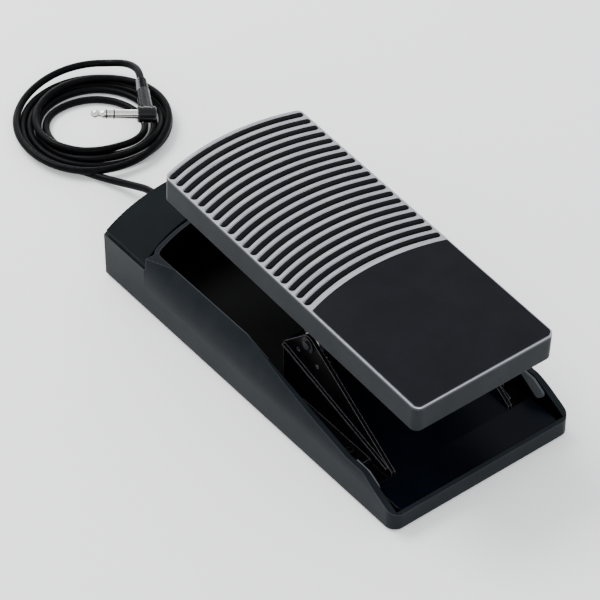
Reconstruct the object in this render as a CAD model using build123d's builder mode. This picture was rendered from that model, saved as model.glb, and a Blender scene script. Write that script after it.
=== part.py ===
"""Treadle expression pedal with a moulded base, a coiled cable and a 6.35 mm plug.

Frame: +X is the user's right, +Y runs from the heel edge to the toe edge, +Z is up, and the
floor is Z = 0. The origin is on the floor, under the centre of the pedal without its cable.
All sizes are in millimetres.
"""
from build123d import *
from math import asin, atan2, cos, hypot, pi, radians, sin, tan
import os

os.makedirs("parts", exist_ok=True)

# ---- driving dimensions -------------------------------------------------------------------
LENGTH = 300.0              # base, heel edge to the middle of the curved toe edge
WIDTH = 136.0
FLOOR_GAP = 1.5             # the base edge clears the floor by this much
HEEL = -LENGTH / 2          # Y of the heel edge
TOE = LENGTH / 2
HALF_W = WIDTH / 2
TOE_BULGE = 15.0            # how far the toe edge bows out
HEEL_CORNER_R = 7.0
TOE_CORNER_R = 4.0

LIP_Z = FLOOR_GAP + 11.0    # heel lip and deck level
RAMP_Z = FLOOR_GAP + 25.5   # side wall beside the heel deck
RIM_Z = FLOOR_GAP + 40.0    # side wall beside the toe well
BLOCK_Z = FLOOR_GAP + 31.5  # toe block under the toe cover
COVER_Z = FLOOR_GAP + 36.0  # top of the toe cover
FLOOR_Z = 7.5               # inside floor of the base
FLOOR_T = 2.0
SHOULDER_Z = 20.0           # the side walls start to lean in here
SHOULDER_IN = 10.0          # and lean in this far at the rim
RAMP_END = HEEL + 29.0      # top of the ramp at the heel end of each side wall
RISE_START = HEEL + 44.0    # the side walls rise from here
RISE_END = HEEL + 150.0     # to here, then run level
LEAN_END = HEEL + 222.0     # the lean starts to run out
WALL_END = HEEL + 242.0     # toe end of the side rails
WELL_HALF_W = 58.0
HEEL_WELL_HALF_W = 63.5
WELL_END = HEEL + 243.0     # toe end of the well's straight sides
WELL_BULGE = 14.0           # how far the well's toe end bows out
HEEL_WALL = 2.5
TALL = 60.0                 # a cut of this height clears the whole base

PIVOT = (0.0, HEEL + 107.0, 58.0)
REST_PITCH = 3.2            # degrees, toe up
TRAVEL = 15.0               # degrees each way
TREAD_W = 103.2
TREAD_L = 247.4             # heel edge to the middle of the curved toe edge
TREAD_HEEL = -103.5         # along the treadle, from the pivot
TREAD_TOP = 36.4            # above the pivot, square to the treadle
SKIRT = 19.0
ARC_R = 155.0               # every arc across the treadle
RIB_COUNT = 19
RIB_PITCH = 7.31
SLOT_W = 4.6
RIB_W = 4.2
RIB_H = 2.0
RIB_HALF_L = 48.3
MAT_EDGE = 2.0
FIRST_RIB = 242.7           # middle of the rib nearest the toe, from the heel edge
PANEL_TOP = 104.6           # middle of the panel's arc, from the heel edge
MAT_HEEL = TREAD_HEEL + PANEL_TOP - 6.0
MAT_TOE = TREAD_HEEL + TREAD_L - 1.6

MODULE = 1.0
SECTOR_TEETH = 64           # on the full circle
PINION_TEETH = 12
PRESSURE = radians(25.0)

CORD_D = 5.0
PLUG_D = 6.35
SHAFT_R = 3.0
RUN = 0.05                  # radial running clearance
SCREW_R = 1.5
TAPPED_R = 1.55             # holes that the screws are driven into
CLEAR_R = 1.7               # holes that the screws pass through


# ---- planes -------------------------------------------------------------------------------
PITCH = radians(REST_PITCH)
TREAD_N = (0, -sin(PITCH), cos(PITCH))
TREAD_DIR = (0, cos(PITCH), sin(PITCH))
TREAD = Plane(origin=PIVOT, x_dir=(1, 0, 0), z_dir=TREAD_N)


def side_plane(x):
    """Plane across the treadle at x: local X runs toward the toe, local Y away from the pivot."""
    return Plane(origin=(x, PIVOT[1], PIVOT[2]), x_dir=TREAD_DIR, z_dir=(1, 0, 0))


def side_yz(x):
    """Plane across the base at x: local X is Y, local Y is Z."""
    return Plane(origin=(x, 0, 0), x_dir=(0, 1, 0), z_dir=(1, 0, 0))


def pivot_yz(x):
    """Plane like side_yz with its origin on the pivot axis."""
    return Plane(origin=(x, PIVOT[1], PIVOT[2]), x_dir=(0, 1, 0), z_dir=(1, 0, 0))


def arc_drop(x, radius=ARC_R):
    """How far an arc across the pedal falls back from its middle at x."""
    return radius - (radius**2 - x**2) ** 0.5


def save(builder, name):
    builder.part.label = name
    export_step(builder.part, f"parts/{name}.step")


# ---- outlines -----------------------------------------------------------------------------
def base_outline(inset=0.0):
    """Plan of the base: straight sides, rounded heel corners and a bowed toe edge."""
    half = HALF_W - inset
    side_end = TOE - TOE_BULGE - inset
    with BuildSketch(mode=Mode.PRIVATE) as plan:
        with BuildLine():
            Polyline((-half, side_end), (-half, HEEL + inset), (half, HEEL + inset), (half, side_end))
            ThreePointArc((half, side_end), (0, TOE - inset), (-half, side_end))
        make_face()
        corners = plan.vertices().group_by(Axis.Y)
        fillet(corners[0], HEEL_CORNER_R - inset)
        fillet(corners[-1], max(TOE_CORNER_R - inset, 1.0))
    return plan.sketch


def well_outline(grow=0.0):
    """Plan of the toe well and the heel deck opening."""
    narrow = WELL_HALF_W + grow
    wide = HEEL_WELL_HALF_W + grow
    side_end = WELL_END + grow
    with BuildSketch(mode=Mode.PRIVATE) as plan:
        with BuildLine():
            Polyline(
                (-narrow, side_end),
                (-narrow, RISE_END),
                (-wide, RISE_START - 2.0),
                (-wide, HEEL + HEEL_WALL - grow),
                (wide, HEEL + HEEL_WALL - grow),
                (wide, RISE_START - 2.0),
                (narrow, RISE_END),
                (narrow, side_end),
            )
            ThreePointArc((narrow, side_end), (0, side_end + WELL_BULGE), (-narrow, side_end))
        make_face()
        rows = plan.vertices().group_by(Axis.Y)
        fillet(rows[-1], 10.0 + grow)
        fillet(rows[1] + rows[2], 40.0)
        fillet(rows[0], 4.0)
    return plan.sketch


def tread_outline(inset=0.0):
    """Plan of the treadle in its own plane, measured from the pivot."""
    half = TREAD_W / 2 - inset
    heel = TREAD_HEEL + inset
    middle = TREAD_HEEL + TREAD_L - inset
    side_end = middle - arc_drop(half)
    with BuildSketch(mode=Mode.PRIVATE) as plan:
        with BuildLine():
            Polyline((-half, side_end), (-half, heel), (half, heel), (half, side_end))
            ThreePointArc((half, side_end), (0, middle), (-half, side_end))
        make_face()
        fillet(plan.vertices(), 5.0 - min(inset, 3.0))
    return plan.sketch


def across(middle, half):
    """An arc across the treadle, its middle that far along and its ends half to each side."""
    ends = middle - arc_drop(half)
    return ThreePointArc((-half, ends), (0, middle), (half, ends))


def rib_lines():
    """The arcs that the slots and ribs follow, nearest the toe first."""
    first = TREAD_HEEL + FIRST_RIB
    return [across(first - index * RIB_PITCH, RIB_HALF_L) for index in range(RIB_COUNT)]


def mat_outline(gap=0.0):
    """Plan of the pocket for the rubber mat, or of the mat itself with a gap round it."""
    half = TREAD_W / 2 - MAT_EDGE - gap
    with BuildSketch(mode=Mode.PRIVATE) as plan:
        with BuildLine():
            low = across(MAT_HEEL + gap, half)
            high = across(MAT_TOE - gap, half)
            Line(low @ 0, high @ 0)
            Line(low @ 1, high @ 1)
        make_face()
    return plan.sketch


def screw(plane, head_r, head_t, shank_r, length):
    """A screw whose head stands on plane and whose shank runs against the plane's normal."""
    with BuildPart(mode=Mode.PRIVATE) as body:
        with BuildSketch(plane):
            Circle(head_r)
        extrude(amount=head_t)
        circles = body.edges().filter_by(GeomType.CIRCLE)
        fillet(circles.sort_by(lambda e: plane.to_local_coords(e.center()).Z)[-1], 0.4)
        with BuildSketch(plane.offset(head_t)):
            RegularPolygon(head_r * 0.5, 6)
        extrude(amount=-head_t * 0.6, mode=Mode.SUBTRACT)
        with BuildSketch(plane):
            Circle(shank_r)
        extrude(amount=-length)
    return body.part


# ---- base housing -------------------------------------------------------------------------
PLATE_INSET = 4.0
PLATE_POCKET = 4.0
PLATE_SCREWS = [(x, HEEL + y) for x in (-55.0, 55.0) for y in (16.0, 142.0, 276.0)]
CHEEK_X = 43.4
CHEEK_T = 2.5
CHEEK_FOOT = 11.0
CHEEK_SCREWS = [(side * (CHEEK_X + 8.2), HEEL + y) for side in (-1, 1) for y in (60.0, 120.0)]
POT_SCREWS = [(14.5, PIVOT[1] - 15.0), (14.5, PIVOT[1] + 15.0)]
COVER_FRONT_R = 118.0
COVER_FRONT = HEEL + 262.6
EXIT_X = -8.0
EXIT_Z = 15.5
GLAND_NECK_R = 4.5
WIRE_R = 0.6
WIRE_X = (17.4, 19.6, 21.8)
WIRE_START = PIVOT[1]
WIRE_END = HEEL + 272.0
WIRE_SLOT = (8.0, 5.0)
COVER_GAP = 2.0             # shadow gap under the toe cover


def lean_cutter(side, lean):
    """Section cut away outside a side wall that curves in by lean between its shoulder and rim."""
    rise = RIM_Z - SHOULDER_Z
    radius = (lean**2 + rise**2) / (2 * lean)
    half_turn = asin(rise / radius) / 2
    foot = (side * HALF_W, SHOULDER_Z)
    bend = (side * (HALF_W - radius + radius * cos(half_turn)), SHOULDER_Z + radius * sin(half_turn))
    rim = (side * (HALF_W - lean), RIM_Z)
    far = side * (HALF_W + 4)
    with BuildSketch(mode=Mode.PRIVATE) as section:
        with BuildLine():
            ThreePointArc(foot, bend, rim)
            Polyline(rim, (rim[0], RIM_Z + 4), (far, RIM_Z + 4), (far, SHOULDER_Z), foot)
        make_face()
    return section.sketch


with BuildPart() as base_housing:
    with BuildSketch(Plane.YZ) as side_shape:
        with BuildLine():
            Polyline(
                (HEEL, FLOOR_GAP),
                (HEEL, LIP_Z),
                (RAMP_END, RAMP_Z),
                (RISE_START, RAMP_Z),
                (RISE_END, RIM_Z),
                (WALL_END, RIM_Z),
                (WALL_END, BLOCK_Z),
                (TOE, BLOCK_Z),
                (TOE, FLOOR_GAP),
                close=True,
            )
        make_face()
        profile = side_shape.vertices()
        fillet(profile.filter_by_position(Axis.X, RAMP_END - 1, RAMP_END + 1), 12.0)
        fillet(profile.filter_by_position(Axis.X, RISE_START - 1, RISE_END + 1), 60.0)
    extrude(amount=HALF_W, both=True)
    with BuildSketch(Plane.XY):
        add(base_outline())
    extrude(amount=TALL, mode=Mode.INTERSECT)

    # Each side wall leans in above its shoulder, and the lean runs out into the square toe block.
    for side in (-1, 1):
        with BuildSketch(Plane.XZ.offset(-LEAN_END)):
            add(lean_cutter(side, SHOULDER_IN))
        extrude(amount=LEAN_END - HEEL + 1.0, mode=Mode.SUBTRACT)
        with BuildSketch(Plane.XZ.offset(-LEAN_END)):
            add(lean_cutter(side, SHOULDER_IN))
        with BuildSketch(Plane.XZ.offset(-WALL_END - 1.0)):
            add(lean_cutter(side, 1.2))
        loft(mode=Mode.SUBTRACT)

    # Seat for the toe cover, inset so that a shadow gap runs round under the cover.
    with BuildSketch(Plane.XY.offset(BLOCK_Z)):
        add(base_outline(2.2))
        add(well_outline(6.0), mode=Mode.SUBTRACT)
        with Locations((0, HEEL + 121.0)):
            Rectangle(WIDTH, 242.0, mode=Mode.SUBTRACT)
    extrude(amount=COVER_GAP)

    # Raised rim round the toe end of the well.
    with BuildSketch(Plane.XY.offset(BLOCK_Z - 1)):
        add(well_outline(2.4))
        with Locations((0, HEEL + 118.0)):
            Rectangle(WIDTH, 236.0, mode=Mode.SUBTRACT)
    extrude(amount=RIM_Z - 2.5 - BLOCK_Z + 1)

    with BuildSketch(Plane.XY.offset(FLOOR_Z)):
        add(well_outline())
    extrude(amount=TALL, mode=Mode.SUBTRACT)

    # Hollow of the toe block, under the cover.
    with BuildSketch(Plane.XY.offset(FLOOR_Z)):
        add(base_outline(4.5))
        add(well_outline(5.0), mode=Mode.SUBTRACT)
        with Locations((0, HEEL + 128.0)):
            Rectangle(WIDTH, 256.0, mode=Mode.SUBTRACT)
    extrude(amount=TALL, mode=Mode.SUBTRACT)

    # Pocket for the bottom plate, its screw posts and the ways through the floor.
    with BuildSketch(Plane.XY.offset(FLOOR_GAP)):
        add(base_outline(PLATE_INSET))
    extrude(amount=PLATE_POCKET, mode=Mode.SUBTRACT)
    with BuildSketch(Plane.XY.offset(FLOOR_GAP + 1.8)):
        with Locations(*PLATE_SCREWS):
            Circle(4.0)
    extrude(amount=PLATE_POCKET - 1.8)
    with BuildSketch(Plane.XY.offset(FLOOR_GAP)):
        with Locations(*PLATE_SCREWS):
            Circle(TAPPED_R)
        with Locations(*CHEEK_SCREWS, *POT_SCREWS):
            Circle(TAPPED_R)
        with Locations((WIRE_X[1], WIRE_START), (WIRE_X[1], WIRE_END)):
            Rectangle(*WIRE_SLOT)
    extrude(amount=PLATE_POCKET + FLOOR_T, mode=Mode.SUBTRACT)

    # Way out for the cable.
    with BuildSketch(Plane.XZ.offset(-TOE - 1)):
        with Locations((EXIT_X, EXIT_Z)):
            Circle(GLAND_NECK_R)
    extrude(amount=12.0, mode=Mode.SUBTRACT)
save(base_housing, "base_housing")

TONGUE_T = 1.4              # pale rubbing tongue on the inside of each side wall
with BuildPart() as wall_tongues:
    for start in (HEEL_WELL_HALF_W - TONGUE_T, -HEEL_WELL_HALF_W):
        with BuildSketch(side_yz(start)) as tongue:
            Polygon(
                (HEEL + 24.0, LIP_Z + 0.3),
                (HEEL + 17.5, LIP_Z + 7.0),
                (HEEL + 28.5, RAMP_Z - 1.3),
                (HEEL + 40.0, RAMP_Z - 0.8),
                (HEEL + 40.0, RAMP_Z - 4.5),
                align=None,
            )
            fillet(tongue.vertices().sort_by(Axis.X)[:2], 3.0)
        extrude(amount=TONGUE_T)
save(wall_tongues, "wall_tongues")

# ---- bottom plate, feet and screws --------------------------------------------------------
PLATE_Z = FLOOR_GAP + 0.3
PLATE_T = 1.5
FEET = [(x, HEEL + y) for x in (-52.0, 52.0) for y in (32.0, 258.0)]

with BuildPart() as bottom_plate:
    with BuildSketch(Plane.XY.offset(PLATE_Z)):
        add(base_outline(PLATE_INSET + 0.4))
        with Locations(*PLATE_SCREWS):
            Circle(CLEAR_R, mode=Mode.SUBTRACT)
    extrude(amount=PLATE_T)
save(bottom_plate, "bottom_plate")

with BuildPart() as rubber_feet:
    with BuildSketch(Plane.XY):
        with Locations(*FEET):
            Circle(9.0)
    extrude(amount=PLATE_Z)
    chamfer(rubber_feet.edges().group_by(Axis.Z)[0], 0.5)
save(rubber_feet, "rubber_feet")

with BuildPart() as plate_screws:
    for spot in PLATE_SCREWS:
        seat = Plane(origin=(spot[0], spot[1], PLATE_Z), x_dir=(1, 0, 0), z_dir=(0, 0, -1))
        add(screw(seat, 2.8, 1.2, SCREW_R, 5.0))
save(plate_screws, "plate_screws")

# ---- heel deck ----------------------------------------------------------------------------
DECK_HALF_W = 60.3
HUMP_HALF_W = 42.8
DECK_START = HEEL + 2.9
HUMP_START = HEEL + 27.5
HUMP_END = HEEL + 133.0
HUMP_Z = FLOOR_GAP + 39.8
SKIN = 2.2


def deck_profile(skin):
    """Side view of the deck and hump, taken in by skin."""
    return [
        (DECK_START + skin, FLOOR_Z),
        (DECK_START + skin, LIP_Z - skin),
        (HUMP_START + skin * 0.15, LIP_Z - skin),
        (HUMP_END - skin, HUMP_Z - skin * 1.25),
        (HUMP_END - skin, FLOOR_Z),
    ]


with BuildPart() as heel_deck:
    with BuildSketch(Plane.YZ):
        Polygon(*deck_profile(0.0), align=None)
    extrude(amount=DECK_HALF_W, both=True)
    with BuildSketch(Plane.XY):
        with Locations((0, (DECK_START + HUMP_START) / 2)):
            Rectangle(2 * DECK_HALF_W, HUMP_START - DECK_START)
        with Locations((0, (DECK_START + HUMP_END) / 2)):
            Rectangle(2 * HUMP_HALF_W, HUMP_END - DECK_START)
    extrude(amount=TALL, mode=Mode.INTERSECT)
    fillet(heel_deck.edges().filter_by(Axis.Z).group_by(Axis.Y)[0], 3.0)
    top_edges = heel_deck.faces().filter_by(lambda f: f.normal_at().Z > 0.9).edges()
    side_edges = top_edges.filter_by(lambda e: abs(e.center().X) > HUMP_HALF_W - 0.1)
    fillet(side_edges.filter_by(lambda e: abs(e.tangent_at(0.5).Y) > 0.9), 0.8)
    with BuildSketch(Plane.YZ):
        Polygon(*deck_profile(SKIN), align=None)
    extrude(amount=HUMP_HALF_W - SKIN, both=True, mode=Mode.SUBTRACT)
    with BuildSketch(Plane.XY.offset(FLOOR_Z)):
        with Locations((0, (DECK_START + HUMP_START) / 2)):
            Rectangle(2 * (DECK_HALF_W - SKIN), HUMP_START - DECK_START - 2 * SKIN)
    extrude(amount=LIP_Z - SKIN - FLOOR_Z, mode=Mode.SUBTRACT)
    with BuildSketch(Plane.XY.offset(LIP_Z)):
        with Locations((0, PIVOT[1] + 2.3)):
            Rectangle(9.0, 41.0)
    extrude(amount=40.0, mode=Mode.SUBTRACT)
save(heel_deck, "heel_deck")

# ---- toe cover ----------------------------------------------------------------------------
with BuildPart() as toe_cover:
    with BuildSketch(Plane.XY.offset(BLOCK_Z + COVER_GAP)):
        add(base_outline(1.4))
        with BuildLine():
            reach = HALF_W + 2
            edge = ThreePointArc(
                (-reach, COVER_FRONT - arc_drop(reach, COVER_FRONT_R)),
                (0, COVER_FRONT),
                (reach, COVER_FRONT - arc_drop(reach, COVER_FRONT_R)),
            )
            Polyline(edge @ 1, (reach, HEEL - 2), (-reach, HEEL - 2), edge @ 0)
        make_face(mode=Mode.SUBTRACT)
    extrude(amount=COVER_Z - BLOCK_Z - COVER_GAP)
    fillet(toe_cover.edges().group_by(Axis.Z)[-1], 0.8)
save(toe_cover, "toe_cover")

# ---- pivot cheeks -------------------------------------------------------------------------
CHEEK_R = 6.0
CHEEK_FRONT = HEEL + 28.5
CHEEK_BACK = HEEL + 131.0
CHEEK_BACK_Z = 43.0
RIB_FRONT = (HEEL + 32.0, 16.1)         # stiffening rib on each cheek's outer face
RIB_BACK = (HEEL + 129.5, 43.1)
RIB_PROUD = 2.1
RIB_T = 1.2
STOP_R = 2.5                # rubber sleeve on each stop pin
STOP_PIN_R = 1.25
STOP_REACH = 14.5           # stop pins from the pivot
TAIL_HALF_W = 3.0
TAIL_L = 18.0
STOP_GAP = 0.2
STOP_ANGLE = radians(TRAVEL) + asin((TAIL_HALF_W + STOP_R + STOP_GAP) / STOP_REACH)
STOPS = [
    (
        PIVOT[1] + STOP_REACH * sin(PITCH + sign * STOP_ANGLE),
        PIVOT[2] - STOP_REACH * cos(PITCH + sign * STOP_ANGLE),
    )
    for sign in (-1, 1)
]

for name, side in (("left_cheek", -1), ("right_cheek", 1)):
    near = CHEEK_X if side > 0 else -CHEEK_X - CHEEK_T
    with BuildPart() as cheek:
        with BuildSketch(side_yz(near)):
            with BuildLine():
                front = (CHEEK_FRONT, LIP_Z + 1.5)
                rise = atan2(PIVOT[2] - front[1], PIVOT[1] - front[0])
                rise += asin(CHEEK_R / hypot(PIVOT[1] - front[0], PIVOT[2] - front[1]))
                back = (CHEEK_BACK, CHEEK_BACK_Z)
                fall = atan2(PIVOT[2] - back[1], back[0] - PIVOT[1])
                fall += asin(CHEEK_R / hypot(back[0] - PIVOT[1], PIVOT[2] - back[1]))
                touch_front = (PIVOT[1] - CHEEK_R * sin(rise), PIVOT[2] + CHEEK_R * cos(rise))
                touch_back = (PIVOT[1] + CHEEK_R * sin(fall), PIVOT[2] + CHEEK_R * cos(fall))
                foot = ((CHEEK_BACK, FLOOR_Z), (CHEEK_FRONT, FLOOR_Z))
                Polyline(touch_back, back, *foot, front, touch_front)
                ThreePointArc(touch_front, (PIVOT[1], PIVOT[2] + CHEEK_R), touch_back)
            make_face()
            with Locations((PIVOT[1], PIVOT[2])):
                Circle(SHAFT_R, mode=Mode.SUBTRACT)
            with Locations(*STOPS):
                Circle(STOP_PIN_R, mode=Mode.SUBTRACT)
        extrude(amount=CHEEK_T)
        with BuildSketch(side_yz(side * (CHEEK_X + CHEEK_T))):
            Polygon(
                RIB_FRONT,
                RIB_BACK,
                (RIB_BACK[0], RIB_BACK[1] - RIB_T),
                (RIB_FRONT[0], RIB_FRONT[1] - RIB_T),
                align=None,
            )
        extrude(amount=side * RIB_PROUD)
        with BuildSketch(Plane.XY.offset(FLOOR_Z)):
            with Locations((side * (CHEEK_X + CHEEK_T / 2 + CHEEK_FOOT / 2), HEEL + 90.0)):
                Rectangle(CHEEK_FOOT + CHEEK_T, 84.0)
            with Locations(*CHEEK_SCREWS):
                Circle(CLEAR_R, mode=Mode.SUBTRACT)
        extrude(amount=CHEEK_T)
    save(cheek, name)

with BuildPart() as cheek_screws:
    for spot in CHEEK_SCREWS:
        seat = Plane(origin=(spot[0], spot[1], FLOOR_Z + CHEEK_T), x_dir=(1, 0, 0), z_dir=(0, 0, 1))
        add(screw(seat, 2.8, 1.8, SCREW_R, 6.0))
save(cheek_screws, "cheek_screws")

# ---- pivot shaft, clips, washers and stops ------------------------------------------------
SHAFT_END = 48.2
CLIP_X = CHEEK_X + CHEEK_T + 0.2
CLIP_T = 0.8
LUG_X = 37.0
LUG_T = 5.0
BOSS_R = 7.5
BUSH_R = 4.5
BUSH_T = 5.6

with BuildPart() as pivot_shaft:
    with BuildSketch(side_yz(-SHAFT_END)):
        with Locations(PIVOT[1:]):
            Circle(SHAFT_R)
    extrude(amount=2 * SHAFT_END)
    chamfer(pivot_shaft.edges().filter_by(GeomType.CIRCLE), 0.5)
    for start in (CLIP_X, -CLIP_X - CLIP_T):
        with BuildSketch(side_yz(start)):
            with Locations(PIVOT[1:]):
                Circle(SHAFT_R + 1)
                Circle(SHAFT_R - 0.6, mode=Mode.SUBTRACT)
        extrude(amount=CLIP_T, mode=Mode.SUBTRACT)
save(pivot_shaft, "pivot_shaft")

with BuildPart() as shaft_clips:
    for start in (CLIP_X, -CLIP_X - CLIP_T):
        with BuildSketch(side_yz(start)):
            with Locations(PIVOT[1:]):
                Circle(5.2)
                Circle(SHAFT_R - 0.6, mode=Mode.SUBTRACT)
            with Locations((PIVOT[1], PIVOT[2] - 5.0)):
                Rectangle(3.6, 8.0, mode=Mode.SUBTRACT)
        extrude(amount=CLIP_T)
save(shaft_clips, "shaft_clips")

with BuildPart() as friction_washers:
    for start in (LUG_X + BUSH_T + 0.1, -LUG_X - BUSH_T - 0.1 - 0.6):
        with BuildSketch(side_yz(start)):
            with Locations(PIVOT[1:]):
                Circle(6.5)
                Circle(SHAFT_R + RUN, mode=Mode.SUBTRACT)
        extrude(amount=0.6)
save(friction_washers, "friction_washers")

with BuildPart() as pivot_bushes:
    for start in (LUG_X - 0.3, -LUG_X + 0.3 - BUSH_T):
        with BuildSketch(side_yz(start)):
            with Locations(PIVOT[1:]):
                Circle(BUSH_R)
                Circle(SHAFT_R + RUN, mode=Mode.SUBTRACT)
        extrude(amount=BUSH_T)
save(pivot_bushes, "pivot_bushes")

with BuildPart() as stop_pins:
    for start in (LUG_X + 0.2, -CHEEK_X - CHEEK_T):
        with BuildSketch(side_yz(start)):
            with Locations(*STOPS):
                Circle(STOP_PIN_R)
        extrude(amount=CHEEK_X + CHEEK_T - LUG_X - 0.2)
save(stop_pins, "stop_pins")

with BuildPart() as stop_sleeves:
    for start in (LUG_X + 0.2, -CHEEK_X + 0.1):
        with BuildSketch(side_yz(start)):
            with Locations(*STOPS):
                Circle(STOP_R)
                Circle(STOP_PIN_R, mode=Mode.SUBTRACT)
        extrude(amount=CHEEK_X - LUG_X - 0.3)
save(stop_sleeves, "stop_sleeves")

# ---- treadle ------------------------------------------------------------------------------
PLATE_V = TREAD_TOP - 1.5           # underside of the slotted plate
MAT_T = 1.2
SHELL_T = 2.4
SHELL_V = PLATE_V - SHELL_T         # inside of the treadle's top
SKIRT_V = TREAD_TOP - SKIRT
SKIRT_T = 2.2
STIFFENER_H = 6.0
TREAD_SCREWS = [(x, u) for x in (-30.0, 30.0) for u in (-88.0, -30.0, 30.0, 96.0)]
SECTOR_SCREWS = [(0.0, -9.0), (0.0, 9.0)]

with BuildPart() as treadle_body:
    with BuildSketch(TREAD.offset(SKIRT_V)):
        add(tread_outline())
    extrude(amount=PLATE_V - SKIRT_V)
    fillet(treadle_body.edges().sort_by(lambda e: TREAD.to_local_coords(e.center()).Z)[0], 0.8)
    with BuildSketch(TREAD.offset(SKIRT_V)):
        add(tread_outline(SKIRT_T))
    extrude(amount=SHELL_V - SKIRT_V, mode=Mode.SUBTRACT)
    with BuildSketch(TREAD.offset(SHELL_V - STIFFENER_H)):
        with Locations(*[(0, u) for u in (-70.0, 62.0, 102.0)]):
            Rectangle(TREAD_W - 3.0, 2.0)
        with Locations(*[(x, 10.0) for x in (-20.0, 20.0)]):
            Rectangle(2.0, 214.0)
    extrude(amount=STIFFENER_H + 0.5)
    for near in (LUG_X, -LUG_X - LUG_T):
        with BuildSketch(side_plane(near)):
            with BuildLine():
                Polyline((-BOSS_R, 0), (-26.0, SHELL_V + 0.5), (26.0, SHELL_V + 0.5), (BOSS_R, 0))
                ThreePointArc((BOSS_R, 0), (0, -BOSS_R), (-BOSS_R, 0))
            make_face()
            with Locations((0, -TAIL_L / 2)):
                Rectangle(2 * TAIL_HALF_W, TAIL_L)
            Circle(BUSH_R, mode=Mode.SUBTRACT)
        extrude(amount=LUG_T)
    with BuildSketch(TREAD.offset(PLATE_V - MAT_T)):
        add(mat_outline())
    extrude(amount=MAT_T, mode=Mode.SUBTRACT)
    with BuildSketch(TREAD.offset(SHELL_V)):
        with Locations(*TREAD_SCREWS, *SECTOR_SCREWS):
            Circle(1.3)
    extrude(amount=1.0, mode=Mode.SUBTRACT)
save(treadle_body, "treadle_body")

with BuildPart() as tread_mat:
    with BuildSketch(TREAD.offset(PLATE_V - MAT_T)):
        add(mat_outline(0.1))
    extrude(amount=MAT_T)
    with BuildSketch(TREAD.offset(PLATE_V)):
        with BuildLine(mode=Mode.PRIVATE):
            arcs = rib_lines()
        for arc in arcs:
            SlotArc(arc, RIB_W)
    extrude(amount=RIB_H)
    rib_tops = tread_mat.faces().filter_by(
        lambda f: abs(TREAD.to_local_coords(f.center()).Z - PLATE_V - RIB_H) < 0.01
    )
    fillet(rib_tops.edges(), 1.1)
save(tread_mat, "tread_mat")

with BuildPart() as tread_plate:
    with BuildSketch(TREAD.offset(PLATE_V)):
        add(tread_outline())
        with BuildLine(mode=Mode.PRIVATE):
            arcs = rib_lines()
        for arc in arcs:
            SlotArc(arc, SLOT_W, mode=Mode.SUBTRACT)
    extrude(amount=TREAD_TOP - PLATE_V)
    rim = tread_plate.edges().filter_by(
        lambda e: TREAD.to_local_coords(e.center()).Z > TREAD_TOP - 0.01
    )
    chamfer(rim, 0.35)
save(tread_plate, "tread_plate")

with BuildPart() as heel_panel:
    with BuildSketch(TREAD.offset(TREAD_TOP)):
        add(tread_outline(1.2))
        with BuildLine():
            half = TREAD_W / 2
            edge = across(TREAD_HEEL + PANEL_TOP, half)
            Polyline(edge @ 1, (half, TREAD_L), (-half, TREAD_L), edge @ 0)
        make_face(mode=Mode.SUBTRACT)
    extrude(amount=0.5)
save(heel_panel, "heel_panel")

with BuildPart() as tread_screws:
    for x, u in TREAD_SCREWS:
        seat_at = TREAD.offset(SHELL_V).from_local_coords((x, u, 0))
        seat = Plane(origin=seat_at, x_dir=(1, 0, 0), z_dir=tuple(-n for n in TREAD_N))
        add(screw(seat, 2.6, 1.6, 1.25, 0.9))
save(tread_screws, "tread_screws")

with BuildPart() as toe_pads:
    with BuildSketch(TREAD.offset(SKIRT_V - 2.4)):
        with Locations(*[(side * (TREAD_W / 2 - SKIRT_T - 2.6), 114.0) for side in (-1, 1)]):
            RectangleRounded(5.0, 22.0, 1.2)
    extrude(amount=SHELL_V - SKIRT_V + 2.4)
save(toe_pads, "toe_pads")

# ---- gear sector, pinion and potentiometer ------------------------------------------------
SECTOR_PITCH_R = MODULE * SECTOR_TEETH / 2
PINION_PITCH_R = MODULE * PINION_TEETH / 2
CENTRE_DISTANCE = SECTOR_PITCH_R + PINION_PITCH_R
PINION_AT = (PIVOT[1], PIVOT[2] - CENTRE_DISTANCE)
ADDENDUM = 0.8
DEDENDUM = 1.15
BACKLASH = 0.12             # each tooth is this much thinner at the pitch circle
SECTOR_HALF_T = 2.0
SECTOR_SIDE_TEETH = 4       # whole teeth each side of the middle space


def involute_angle(radius, base_r):
    """Polar angle swept along an involute from its base circle out to radius."""
    roll = ((radius / base_r) ** 2 - 1) ** 0.5
    return roll - atan2(roll, 1)


def tooth_points(teeth, middle):
    """One gear tooth's outline about the gear's centre, its middle at the given angle."""
    pitch_r = MODULE * teeth / 2
    base_r = pitch_r * cos(PRESSURE)
    root_r = pitch_r - DEDENDUM
    tip_r = pitch_r + ADDENDUM
    start_r = max(base_r, root_r) + 0.001
    half_pitch = (pi * MODULE / 2 - BACKLASH) / (2 * pitch_r)
    steps = 5
    flank = []
    for step in range(steps + 1):
        radius = start_r + (tip_r - start_r) * step / steps
        half = half_pitch + involute_angle(pitch_r, base_r) - involute_angle(radius, base_r)
        flank.append((radius, half))
    root = (root_r - 0.4, flank[0][1])
    polar = [(r, middle + h) for r, h in [root] + flank]
    polar += [(r, middle - h) for r, h in reversed([root] + flank)]
    return [(r * cos(a), r * sin(a)) for r, a in polar]


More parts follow.
